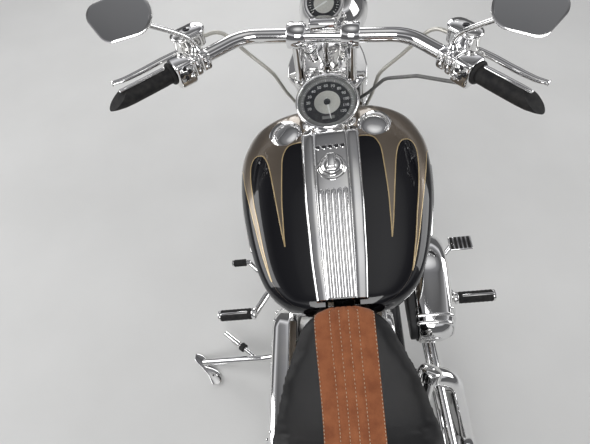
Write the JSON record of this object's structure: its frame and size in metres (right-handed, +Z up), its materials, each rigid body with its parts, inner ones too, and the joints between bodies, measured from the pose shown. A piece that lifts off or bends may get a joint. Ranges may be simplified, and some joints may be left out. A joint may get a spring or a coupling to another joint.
{
  "type": "chopper motorcycle",
  "caption": "Chopper motorcycle with a springer fork, finned V-twin engine, belt drive, laced wheels, split fuel tank with console, low saddle and side stand.",
  "frame": {"origin": "centre of the bounding box on the floor, under the motorcycle as it leans on its side stand", "axes": "+X towards the front wheel, +Y to the rider's left, +Z up from the floor"},
  "size_m": [2.4122, 0.9763, 1.2131],
  "materials": {
    "paint": "gloss",
    "frame_black": "gloss",
    "engine_black": "satin",
    "chrome": "polished",
    "alloy": "satin",
    "steel": "satin",
    "dial": "gloss",
    "hide": "satin",
    "grip_rubber": "matte",
    "belt_rubber": "matte",
    "tyre": "matte",
    "lens_red": "gloss",
    "hose": "satin"
  },
  "bodies": {
    "chassis": {"frame_backbone": "frame_black", "frame_rails": "frame_black", "stand_bracket": "frame_black", "swingarm": "frame_black", "rear_axle": "chrome", "rear_caliper": "chrome", "drive_belt": "belt_rubber", "crankcase": "alloy", "cylinders": "engine_black", "rocker_boxes": "chrome", "cam_cover": "chrome", "intake": "engine_black", "air_cleaner": "chrome", "primary_cover": "chrome", "gearbox": "alloy", "exhausts": "chrome", "oil_tank": "chrome", "fuel_tanks": "paint", "tank_console": "chrome", "speedometer": "dial", "fuel_caps": "chrome", "seat": "hide", "rear_fender": "paint", "fender_struts": "chrome", "tail_lamp": "lens_red", "plate_bracket": "chrome", "foot_controls": "grip_rubber"},
    "fork": {"rigid_fork": "chrome", "top_clamp": "chrome", "spring_fork": "chrome", "fork_springs": "chrome", "fork_rockers": "chrome", "front_axle": "chrome", "risers": "chrome", "handlebar": "chrome", "grips": "grip_rubber", "hand_controls": "chrome", "mirrors": "chrome", "tachometer": "chrome", "headlamp": "chrome", "front_fender": "paint", "front_caliper": "chrome", "control_cables": "hose"},
    "front_wheel": {"front_wheel": "chrome", "front_tyre": "tyre", "front_disc": "steel"},
    "rear_wheel": {"rear_wheel": "chrome", "rear_tyre": "tyre", "rear_disc": "steel", "rear_pulley": "alloy"},
    "side_stand": {"side_stand": "chrome"}
  },
  "joints": [
    {"name": "steering", "type": "hinge", "parent": "chassis", "child": "fork", "pos_m": [0.52435, -0.02278, 0.75708], "axis": [-0.5307, 0.118, 0.8393], "range_deg": [-16.2, 31.8]},
    {"name": "front_wheel_spin", "type": "hinge", "parent": "fork", "child": "front_wheel", "pos_m": [0.86914, -0.09083, 0.34024], "axis": [0.1152, 0.9911, -0.0666], "continuous": true},
    {"name": "rear_wheel_spin", "type": "hinge", "parent": "chassis", "child": "rear_wheel", "pos_m": [-0.80031, -0.08335, 0.32481], "axis": [0.0001, 0.9903, -0.1392], "continuous": true},
    {"name": "side_stand_fold", "type": "hinge", "parent": "chassis", "child": "side_stand", "pos_m": [0.07186, 0.0449, 0.14604], "axis": [-0.0409, 0.4203, 0.9065], "range_deg": [0, 78]}
  ]
}
